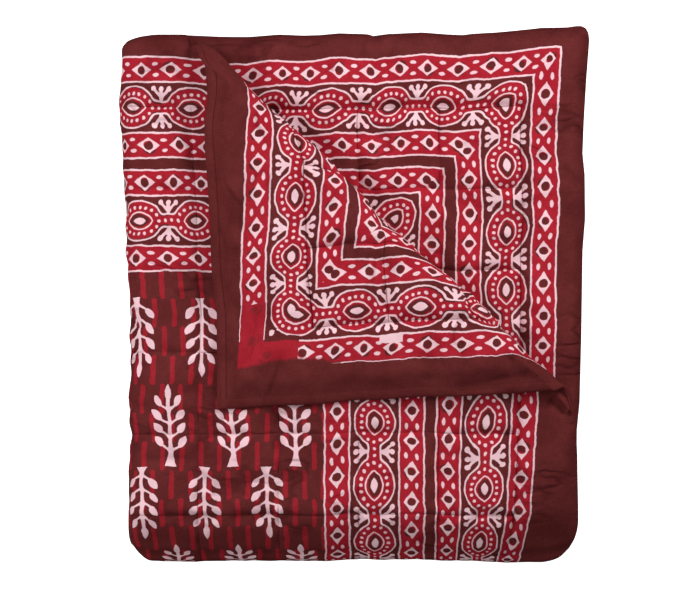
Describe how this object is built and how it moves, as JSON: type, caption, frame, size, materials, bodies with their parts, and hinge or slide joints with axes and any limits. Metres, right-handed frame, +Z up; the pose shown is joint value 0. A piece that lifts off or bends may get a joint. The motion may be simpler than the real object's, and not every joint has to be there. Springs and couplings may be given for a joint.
{
  "type": "folded quilted comforter",
  "caption": "Cotton-filled, quilted bed comforter with a block-printed cover, folded in four and lying flat, with the open corner of its top layer turned back.",
  "frame": {"origin": "middle of the folded packet's footprint, on the surface that it lies on", "axes": "+X towards the open side, +Y towards the open end, +Z up out of the turned-back corner"},
  "size_m": [1.0796, 1.2554, 0.224],
  "materials": {
    "printed_cotton": "matte printed cotton, dark brown with red and pale pink"
  },
  "bodies": {
    "root": {"comforter": "printed_cotton"}
  },
  "joints": []
}
